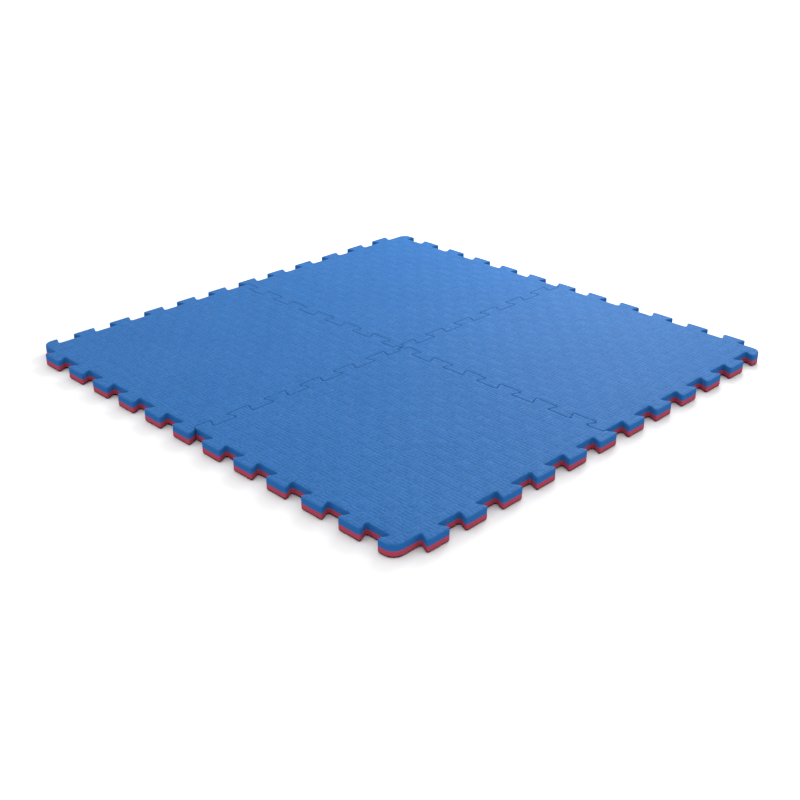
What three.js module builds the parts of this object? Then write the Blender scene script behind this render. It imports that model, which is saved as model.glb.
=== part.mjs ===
// Four interlocking foam tiles, laid two by two.
// Each tile is a blue sheet bonded to a red one, and its edges are cut into dovetail teeth.
// Millimetres, +Z up, origin under the centre of the set, where the four tiles meet.
import * as THREE from 'three';

// Driving dimensions
const tileSize = 304.8;         // spacing of the tiles, centre line of one seam to the next
const teethPerSide = 6;
const toothDepth = 12.7;        // root line to tip line, half of it each side of the seam's centre line
const undercut = 2.8;           // how far a tooth's flank leans out between mid depth and tip
const seamGap = 0.3;            // free gap across every seam
const sheetThickness = 7.4;     // each of a tile's two sheets
const bondGap = 0.2;            // glue line between the sheets
const outerCornerRadius = toothDepth;
const cornerSegments = 10;

// Worked out from the above
const toothPitch = tileSize / teethPerSide;
const tipLine = toothDepth / 2 - seamGap / 2;
const rootLine = -toothDepth / 2 - seamGap / 2;
const flankSlope = undercut / (toothDepth / 2);
const flankGap = (seamGap / 2) * Math.hypot(1, flankSlope);

const blueFoam = { color: 0x437abc, roughness: 0.85, metalness: 0 };
const redFoam = { color: 0xb5404f, roughness: 0.85, metalness: 0 };

// Half the width of a tooth at a height above the seam's centre line
function toothHalfWidth(height) {
  return toothPitch / 4 - flankGap + height * flankSlope;
}

// A side is drawn along u, anticlockwise round the tile, with v pointing out of the tile.
// u = 0 and v = 0 is the corner where the centre lines of two seams cross.
function sideFrame(turns) {
  const angle = turns * Math.PI / 2;
  return (u, v) => {
    const point = new THREE.Vector2(u - tileSize / 2, -tileSize / 2 - v);
    return point.rotateAround(new THREE.Vector2(0, 0), angle);
  };
}

// The four ways a side's last tooth turns the corner into the next side
const cornerEnds = {
  // Outside corner of the set: the tooth ends in a quarter round
  rounded(shape, at, turns) {
    const centre = at(tileSize + rootLine - outerCornerRadius, tipLine - outerCornerRadius);
    const start = (turns - 1) * Math.PI / 2;
    shape.absarc(centre.x, centre.y, outerCornerRadius, start, start + Math.PI / 2, false);
  },
  // Middle of an outside edge: a whole tooth overhangs the seam
  overhanging(shape, at) {
    const lastTooth = tileSize - toothPitch / 4;
    lineThrough(shape, at, [
      [lastTooth + toothHalfWidth(tipLine), tipLine],
      [lastTooth + toothHalfWidth(-tipLine), -tipLine],
      [tileSize + rootLine, -tipLine],
    ]);
  },
  // Centre of the set: a square nub fills the tile's own quarter of the crossing
  nub(shape, at) {
    lineThrough(shape, at, [
      [tileSize + rootLine, tipLine],
      [tileSize + rootLine, -seamGap / 2],
      [tileSize - seamGap / 2, -seamGap / 2],
      [tileSize - seamGap / 2, -tipLine],
      [tileSize + rootLine, -tipLine],
    ]);
  },
  // Middle of an outside edge, on the tile that takes the overhanging tooth
  square(shape, at) {
    lineThrough(shape, at, [[tileSize + rootLine, tipLine]]);
  },
};

function lineThrough(shape, at, points) {
  for (const [u, v] of points) {
    const point = at(u, v);
    shape.lineTo(point.x, point.y);
  }
}

function drawSide(shape, turns, cornerEnd) {
  const at = sideFrame(turns);
  for (let tooth = 0; tooth < teethPerSide; tooth += 1) {
    const middle = (tooth + 0.75) * toothPitch;
    lineThrough(shape, at, [
      [middle - toothHalfWidth(rootLine), rootLine],
      [middle - toothHalfWidth(tipLine), tipLine],
    ]);
    if (tooth < teethPerSide - 1) {
      lineThrough(shape, at, [
        [middle + toothHalfWidth(tipLine), tipLine],
        [middle + toothHalfWidth(rootLine), rootLine],
      ]);
    }
  }
  cornerEnds[cornerEnd](shape, at, turns);
}

function tileShape() {
  const shape = new THREE.Shape();
  const start = sideFrame(0)(-rootLine, rootLine);
  shape.moveTo(start.x, start.y);
  ['overhanging', 'nub', 'square', 'rounded'].forEach((cornerEnd, turns) => {
    drawSide(shape, turns, cornerEnd);
  });
  return shape;
}

const sheetGeometry = new THREE.ExtrudeGeometry(tileShape(), {
  depth: sheetThickness,
  bevelEnabled: false,
  curveSegments: cornerSegments,
});

function sheet(name, height, foam) {
  const mesh = new THREE.Mesh(sheetGeometry, new THREE.MeshStandardMaterial(foam));
  mesh.name = name;
  mesh.position.set(-tileSize / 2, -tileSize / 2, height);
  return mesh;
}

// The tiles are alike: each is the front one turned about the centre of the set
const blockingMats = new THREE.Group();
['front', 'right', 'back', 'left'].forEach((place, quarterTurns) => {
  const tile = new THREE.Group();
  tile.rotation.z = quarterTurns * Math.PI / 2;
  tile.add(sheet(`${place}_tile_red_base_sheet`, 0, redFoam));
  tile.add(sheet(`${place}_tile_blue_top_sheet`, sheetThickness + bondGap, blueFoam));
  blockingMats.add(tile);
});

export default blockingMats;
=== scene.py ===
import math

import bpy
from mathutils import Euler, Matrix, Vector


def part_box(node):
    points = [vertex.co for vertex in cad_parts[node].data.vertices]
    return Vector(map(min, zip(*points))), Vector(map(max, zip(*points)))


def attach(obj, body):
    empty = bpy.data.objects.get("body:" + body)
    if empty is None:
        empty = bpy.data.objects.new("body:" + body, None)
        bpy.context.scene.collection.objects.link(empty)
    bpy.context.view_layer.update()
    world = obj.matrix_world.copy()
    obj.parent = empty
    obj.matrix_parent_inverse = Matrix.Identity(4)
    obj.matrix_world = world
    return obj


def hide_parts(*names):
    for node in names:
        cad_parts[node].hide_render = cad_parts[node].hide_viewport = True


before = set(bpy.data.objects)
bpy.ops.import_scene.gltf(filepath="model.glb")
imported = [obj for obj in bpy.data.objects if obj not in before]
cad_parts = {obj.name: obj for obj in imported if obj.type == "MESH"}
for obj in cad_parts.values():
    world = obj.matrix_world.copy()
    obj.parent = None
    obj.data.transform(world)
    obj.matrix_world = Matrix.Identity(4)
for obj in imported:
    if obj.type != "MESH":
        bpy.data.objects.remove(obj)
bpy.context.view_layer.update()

mm = 0.001
quarterTurn = math.pi / 2
tilePlaces = ("front", "right", "back", "left")  # each a quarter turn on, about the set's centre


def hexToLinear(code):
    channels = [int(code[i:i + 2], 16) / 255 for i in (1, 3, 5)]
    linear = [c / 12.92 if c <= 0.04045 else ((c + 0.055) / 1.055) ** 2.4 for c in channels]
    return (*linear, 1.0)


def addNode(tree, kind, settings=None, links=None):
    node = tree.nodes.new(kind)
    for name, value in (settings or {}).items():
        if isinstance(name, int) or name in node.inputs:
            node.inputs[name].default_value = value
        else:
            setattr(node, name, value)
    for name, source in (links or {}).items():
        tree.links.new(source, node.inputs[name])
    return node


def addToScene(name, mesh):
    thing = bpy.data.objects.new(name, mesh)
    bpy.context.scene.collection.objects.link(thing)
    return thing


# Camera: standing off the front corner, looking down at about 26 degrees

cameraView = {
    "lens": 51.7,                      # mm, on a 36 mm sensor
    "stand": (-0.8985, -0.8836, 0.5641),
    "aim": (-0.1028, -0.1003, 0.015),  # a point on the top face, in the front tile
    "roll": 0.26,                      # degrees
    "clipStart": 0.01,
}


def makeCamera(settings):
    camera = bpy.data.objects.new("camera", bpy.data.cameras.new("camera"))
    bpy.context.scene.collection.objects.link(camera)
    camera.data.lens = settings["lens"]
    camera.data.clip_start = settings["clipStart"]
    camera.location = settings["stand"]
    gaze = (Vector(settings["aim"]) - camera.location).to_track_quat("-Z", "Y")
    roll = Euler((0, 0, math.radians(settings["roll"]))).to_quaternion()
    camera.rotation_euler = (gaze @ roll).to_euler()
    bpy.context.scene.camera = camera


makeCamera(cameraView)
print("camera placed")


# Foam materials. The tiles are EVA (ethylene-vinyl acetate), a closed-cell foam.

foamIor = 1.48


def startMaterial(name):
    material = bpy.data.materials.new(name)
    material.use_nodes = True
    tree = material.node_tree
    tree.nodes.clear()
    place = addNode(tree, "ShaderNodeTexCoord").outputs["Object"]
    return material, tree, place


def finishMaterial(tree, color, bump, surface):
    shader = addNode(tree, "ShaderNodeBsdfPrincipled", surface, {"Base Color": color, "Normal": bump})
    addNode(tree, "ShaderNodeOutputMaterial", links={"Surface": shader.outputs["BSDF"]})


def embossedFoam(name, look):
    # The moulded skin: dense and nearly matt, mottled, with a fine orange-peel grain from the press
    material, tree, place = startMaterial(name)
    cloud = addNode(tree, "ShaderNodeTexNoise",
                    {"Scale": 1 / look["cloudSize"], "Detail": 3.0, "Roughness": 0.55}, {"Vector": place})
    shade = addNode(tree, "ShaderNodeMix",
                    {"data_type": "RGBA", 6: hexToLinear(look["deep"]), 7: hexToLinear(look["pale"])},
                    {0: cloud.outputs["Fac"]})
    speck = addNode(tree, "ShaderNodeTexNoise",
                    {"Scale": 1 / look["speckSize"], "Detail": 2.0}, {"Vector": place})
    speckShade = addNode(tree, "ShaderNodeMapRange",
                         {"From Min": 0.3, "From Max": 0.7,  # the noise seldom leaves this range
                          "To Min": 1 - look["speckle"], "To Max": 1 + look["speckle"]},
                         {"Value": speck.outputs["Fac"]})
    color = addNode(tree, "ShaderNodeVectorMath", {"operation": "SCALE"},
                    {0: shade.outputs[2], "Scale": speckShade.outputs["Result"]})
    grain = addNode(tree, "ShaderNodeTexNoise",
                    {"Scale": 1 / look["grainSize"], "Detail": 3.0}, {"Vector": place})
    bump = addNode(tree, "ShaderNodeBump",
                   {"Strength": look["grainStrength"], "Distance": look["grainDepth"]},
                   {"Height": grain.outputs["Fac"]})
    finishMaterial(tree, color.outputs[0], bump.outputs["Normal"],
                   {"Roughness": look["roughness"], "IOR": foamIor, "Specular IOR Level": look["gloss"]})
    return material


def cutFoam(name, look):
    # The die-cut edge: sliced cells, drier and more matt than the skin,
    # with faint streaks down the blade's path
    material, tree, place = startMaterial(name)
    cells = addNode(tree, "ShaderNodeTexVoronoi", {"Scale": 1 / look["cellSize"]}, {"Vector": place})
    shade = addNode(tree, "ShaderNodeMix",
                    {"data_type": "RGBA", 6: hexToLinear(look["pale"]), 7: hexToLinear(look["deep"])},
                    {0: cells.outputs["Distance"]})
    stretched = addNode(tree, "ShaderNodeMapping",
                        {"Scale": (1, 1, look["streakStretch"])}, {"Vector": place})
    streaks = addNode(tree, "ShaderNodeTexNoise",
                      {"Scale": 1 / look["streakWidth"], "Detail": 2.0},
                      {"Vector": stretched.outputs["Vector"]})
    heights = addNode(tree, "ShaderNodeMath", {"operation": "ADD"},
                      {0: cells.outputs["Distance"], 1: streaks.outputs["Fac"]})
    bump = addNode(tree, "ShaderNodeBump",
                   {"Strength": look["cellStrength"], "Distance": look["cellDepth"]},
                   {"Height": heights.outputs[0]})
    finishMaterial(tree, shade.outputs[2], bump.outputs["Normal"],
                   {"Roughness": look["roughness"], "IOR": foamIor, "Specular IOR Level": look["gloss"]})
    return material


skinLook = {
    "cloudSize": 90 * mm,      # slow drift of the pigment across a tile
    "speckSize": 2.8 * mm,     # mottling of the pigment, drawn coarse so that it shows
    "speckle": 0.16,
    "grainSize": 0.9 * mm,     # the real grain is nearer 0.3 mm, drawn coarser so that it shows
    "grainDepth": 0.12 * mm,
    "grainStrength": 0.5,
    "roughness": 0.65,
    "gloss": 0.07,             # low: the skin has almost no shine
}
cutLook = {
    "cellSize": 0.8 * mm,      # real cells are 0.2 to 0.4 mm, drawn coarser so that they show
    "cellDepth": 0.15 * mm,
    "cellStrength": 0.6,
    "streakWidth": 1.5 * mm,
    "streakStretch": 0.2,      # streaks run five times as far up as they are wide
    "roughness": 0.9,
    "gloss": 0.15,
}
blueSkin = embossedFoam("blue EVA foam, embossed skin", skinLook | {"deep": "#235790", "pale": "#2A5E96"})
redSkin = embossedFoam("red EVA foam, embossed skin", skinLook | {"deep": "#96303C", "pale": "#9F3944"})
# the blue cut edge is coloured darker than the blue skin: painted shade for the side faces; its cells and
# streaks are the cut foam's own
blueCutPaintedShade = cutFoam("blue EVA foam, die-cut edge with painted side shade", cutLook | {"deep": "#134E8C", "pale": "#1F5C98"})
redCut = cutFoam("red EVA foam, die-cut edge", cutLook | {"deep": "#902F42", "pale": "#9F3E4F"})
# the red's lower rim, painted near-black: painted contact shadow, a thin dark line under the red
paintedShadeRim = cutFoam("red EVA foam, lower rim painted as contact shadow", cutLook | {"deep": "#2E1418", "pale": "#40191F"})
print("foam materials made")


# Foam sheets: the CAD outline with its corners eased, and the outer face embossed in a basket weave

samePoint = 0.01 * mm   # CAD corners nearer than this are one point
nearBottom = 0.1 * mm   # how close to the sheet's lower face an edge of it lies

foamSheet = {
    "cornerRadius": 2.2 * mm,   # plan radius left by the cutting die
    "cornerSteps": 4,
    "gentlestCorner": 20,       # degrees: the outer corner's own arc turns by less at each point
    "straight": 0.5,            # degrees: a point that turns by less is on a straight run
    "rimSteps": 4,
    "rimLean": (0.1, 0.85),     # upward part of the normal, over the steep part of the rim
    "sharpest": 38,             # degrees: smooth shading stops at a sharper edge
}
weave = {
    "patchesPerTooth": 3,       # so the weave's patches are 16.9 mm square
    "teethPerSide": 6,
    "ribsPerPatch": 4,          # 4.2 mm apart
    "ribHeight": 0.3 * mm,
    "ribWidth": 3.1 * mm,
    "ribTip": 1.5 * mm,         # length of a rib's pointed end
    "ribEndGap": 0.4 * mm,      # from a rib's end to the edge of its patch
    "ribRoot": 0.3 * mm,        # how far a rib starts below the floor of the weave
    "ribSection": ((0, 0), (0.4 * mm, 0.65), (1.0 * mm, 1)),  # inset, share of the height
    "spareRings": 1,            # patches past the tile's own square, for the teeth
}


def neighbours(outline):
    return zip(outline[-1:] + outline[:-1], outline, outline[1:] + outline[:1])


def keyOf(point):
    return (round(point.x / samePoint), round(point.y / samePoint))


def cadOutline(node):
    # the loop round the sheet's lower face, anticlockwise, with no points on straight runs
    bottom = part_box(node)[0].z
    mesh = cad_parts[node].data
    following = {}
    for face in mesh.polygons:
        corners = [mesh.vertices[i].co for i in face.vertices]
        if abs(face.normal.z) > 0.5:  # not a side face
            continue
        for start, end in zip(corners, corners[1:] + corners[:1]):
            if max(start.z, end.z) < bottom + nearBottom:
                following[keyOf(start)] = end.xy
    first = next(iter(following))
    outline = [following[first]]
    while keyOf(outline[-1]) != first:
        outline.append(following[keyOf(outline[-1])])
    straight = math.radians(foamSheet["straight"])
    return [b for a, b, c in neighbours(outline) if (b - a).angle(c - b) > straight]


def easeCorners(outline, settings):
    eased = []
    for before, corner, after in neighbours(outline):
        turn = (corner - before).angle(after - corner)
        if turn < math.radians(settings["gentlestCorner"]):
            eased.append(corner)
            continue
        reach = settings["cornerRadius"] * math.tan(turn / 2)
        start = corner + (before - corner).normalized() * reach
        end = corner + (after - corner).normalized() * reach
        for step in range(settings["cornerSteps"] + 1):
            along = step / settings["cornerSteps"]
            eased.append(start.lerp(corner, along).lerp(corner.lerp(end, along), along))
    return eased


def shrink(outline, distance):
    moved = []
    for before, point, after in neighbours(outline):
        a = (point - before).normalized()
        b = (after - point).normalized()
        outward = Vector((a.y + b.y, -a.x - b.x)) / (1 + a.dot(b))
        moved.append(point - outward * distance)
    return moved


def stack(levels):
    # levels are (outline, height) from the bottom up; the result is one closed skin
    count = len(levels[0][0])
    points = [(p[0], p[1], height) for outline, height in levels for p in outline]
    top = (len(levels) - 1) * count
    faces = [tuple(reversed(range(count))), tuple(range(top, top + count))]
    for level in range(len(levels) - 1):
        for i in range(count):
            a = level * count + i
            b = level * count + (i + 1) % count
            faces.append((a, b, b + count, a + count))
    return points, faces


def meshOf(name, solids):
    points = []
    faces = []
    for solidPoints, solidFaces in solids:
        faces += [tuple(i + len(points) for i in face) for face in solidFaces]
        points += solidPoints
    mesh = bpy.data.meshes.new(name)
    mesh.from_pydata(points, [], faces)
    return mesh


def square(centre, half):
    return [centre + Vector(corner) * half for corner in ((-1, -1), (1, -1), (1, 1), (-1, 1))]


def ribOutline(length, across, inset, settings):
    x = settings["ribWidth"] / 2 - inset
    y = length / 2 - inset
    shoulder = y - settings["ribTip"]
    bar = ((-x, -shoulder), (0, -y), (x, -shoulder), (x, shoulder), (0, y), (-x, shoulder))
    return [Vector((-v, u) if across else (u, v)) for u, v in bar]


def weaveRibs(centre, tileSize, faceHeight, settings):
    patches = settings["teethPerSide"] * settings["patchesPerTooth"]
    patch = tileSize / patches
    length = patch - 2 * settings["ribEndGap"]
    floor = faceHeight - settings["ribHeight"]
    section = [(0, -settings["ribRoot"])]
    section += [(inset, share * settings["ribHeight"]) for inset, share in settings["ribSection"]]
    ribs = []
    for row in range(-settings["spareRings"], patches + settings["spareRings"]):
        for column in range(-settings["spareRings"], patches + settings["spareRings"]):
            middle = centre + Vector((column + 0.5 - patches / 2, row + 0.5 - patches / 2)) * patch
            across = (row + column) % 2 == 1  # every other patch turns its ribs a quarter
            outlines = [ribOutline(length, across, inset, settings) for inset, _ in section]
            for rib in range(settings["ribsPerPatch"]):
                step = ((rib + 0.5) / settings["ribsPerPatch"] - 0.5) * patch
                at = middle + Vector((0, step) if across else (step, 0))
                ribs.append(stack([([at + p for p in outline], floor + rise)
                                   for outline, (_, rise) in zip(outlines, section)]))
    return ribs


def combine(target, tool, operation):
    cut = target.modifiers.new("combine", "BOOLEAN")
    cut.object = tool
    cut.operation = operation
    cut.solver = "MANIFOLD"
    shaped = bpy.data.meshes.new_from_object(target.evaluated_get(bpy.context.evaluated_depsgraph_get()))
    target.modifiers.remove(cut)
    target.data = shaped
    bpy.data.objects.remove(tool)


def uprightSheet(outline, centre, tileSize, thickness, rimRadius):
    # lies on z = 0 with its embossed face up
    floor = thickness - weave["ribHeight"]
    blank = addToScene("sheet blank", meshOf("sheet blank", [stack([
        (square(centre, tileSize), -thickness),
        (square(centre, tileSize), floor),
    ])]))
    ribs = addToScene("ribs", meshOf("ribs", weaveRibs(centre, tileSize, thickness, weave)))
    combine(blank, ribs, "UNION")
    eased = easeCorners(outline, foamSheet)
    levels = [(eased, 0.0)]
    for step in range(foamSheet["rimSteps"] + 1):
        angle = step / foamSheet["rimSteps"] * quarterTurn
        inset = rimRadius * (1 - math.cos(angle))
        height = thickness - rimRadius * (1 - math.sin(angle))
        levels.append((shrink(eased, inset), height))
    die = addToScene("die", meshOf("die", [stack(levels)]))
    combine(blank, die, "INTERSECT")
    mesh = blank.data
    bpy.data.objects.remove(blank)
    return mesh


def paintSheet(mesh, thickness, kind):
    # slot 0 is the embossed skin, slot 1 the cut edge and the bonded face (darkened as painted side shade
    # on the blue sheet), slot 2 the steep part of the rim (painted contact shadow on the red sheet)
    mesh.materials.clear()
    for part in ("skin", "cut", "rim"):
        mesh.materials.append(kind[part])
    rimStart = thickness - kind["rimRadius"]
    leastUp, mostUp = foamSheet["rimLean"]
    for face in mesh.polygons:
        if face.center.z < rimStart:
            face.material_index = 1
        # the steep part of the rim; on the red sheet this band is painted contact shadow
        elif leastUp < face.normal.z < mostUp:
            face.material_index = 2
        else:
            face.material_index = 0
    mesh.shade_smooth()
    mesh.set_sharp_from_angle(angle=math.radians(foamSheet["sharpest"]))


frontLow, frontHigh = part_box("front_tile_blue_top_sheet")
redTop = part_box("front_tile_red_base_sheet")[1].z
bondHeight = (redTop + frontLow.z) / 2  # the two sheets meet in the middle of the glue line
sheetThickness = frontHigh.z - bondHeight
frontCentre = (frontLow.xy + frontHigh.xy) / 2
tileSize = 2 * abs(frontCentre.x)
outline = cadOutline("front_tile_red_base_sheet")

sheetColors = {
    "blue_top_sheet": {
        # the blue's cut edge carries painted side shade
        "skin": blueSkin, "cut": blueCutPaintedShade, "rim": blueSkin, "slot": "blue_foam", "up": 1,
        "rimRadius": 1.3 * mm,  # soft rounding where the skin meets the cut edge
    },
    "red_base_sheet": {
        # the red's lower rim is painted dark as contact shadow
        "skin": redSkin, "cut": redCut, "rim": paintedShadeRim, "slot": "red_foam", "up": -1,
        "rimRadius": 2.2 * mm,  # rounder than the blue one
    },
}
for sheetName, kind in sheetColors.items():
    colored = uprightSheet(outline, frontCentre, tileSize, sheetThickness, kind["rimRadius"])
    print(f"{sheetName} shaped: {len(colored.polygons)} faces")
    paintSheet(colored, sheetThickness, kind)
    toHeight = Matrix.Translation((0, 0, bondHeight)) @ Matrix.Diagonal((1, 1, kind["up"], 1))
    colored.transform(toHeight)
    if kind["up"] < 0:
        colored.flip_normals()
    for turns, place in enumerate(tilePlaces):
        mesh = colored.copy()
        mesh.transform(Matrix.Rotation(turns * quarterTurn, 4, "Z"))
        piece = addToScene(f"{place}_tile_{sheetName}_foam", mesh)
        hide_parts(f"{place}_tile_{sheetName}")
        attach(piece, f"{place}_tile")
print("foam sheets laid")


# Studio: a pale table lit to white, soft light all round, and one softbox over the right side

studio = {
    "floorSize": 30.0,
    "floorColor": "#DADADA",
    "floorRoughness": 0.9,
    "skyStrength": 1.42,
    "softboxAt": (0.8, 0.2, 0.55),
    "softboxSize": 0.5,
    "softboxPower": 7.8,
}


def makeStudio(settings):
    half = settings["floorSize"] / 2
    floor = addToScene("floor", meshOf("floor", [(
        [(-half, -half, 0), (half, -half, 0), (half, half, 0), (-half, half, 0)], [(0, 1, 2, 3)])]))
    paper = bpy.data.materials.new("matt pale paper")
    paper.use_nodes = True
    shader = paper.node_tree.nodes["Principled BSDF"]
    shader.inputs["Base Color"].default_value = hexToLinear(settings["floorColor"])
    shader.inputs["Roughness"].default_value = settings["floorRoughness"]
    floor.data.materials.append(paper)
    world = bpy.data.worlds.new("studio")
    world.use_nodes = True
    world.node_tree.nodes["Background"].inputs["Color"].default_value = (1, 1, 1, 1)
    world.node_tree.nodes["Background"].inputs["Strength"].default_value = settings["skyStrength"]
    bpy.context.scene.world = world
    softbox = bpy.data.objects.new("softbox", bpy.data.lights.new("softbox", "AREA"))
    softbox.data.shape = "SQUARE"
    softbox.data.size = settings["softboxSize"]
    softbox.data.energy = settings["softboxPower"]
    softbox.location = settings["softboxAt"]
    softbox.rotation_euler = (-softbox.location).to_track_quat("-Z", "Y").to_euler()
    bpy.context.scene.collection.objects.link(softbox)


makeStudio(studio)
bpy.context.scene.view_settings.view_transform = "Standard"
print("studio lit")
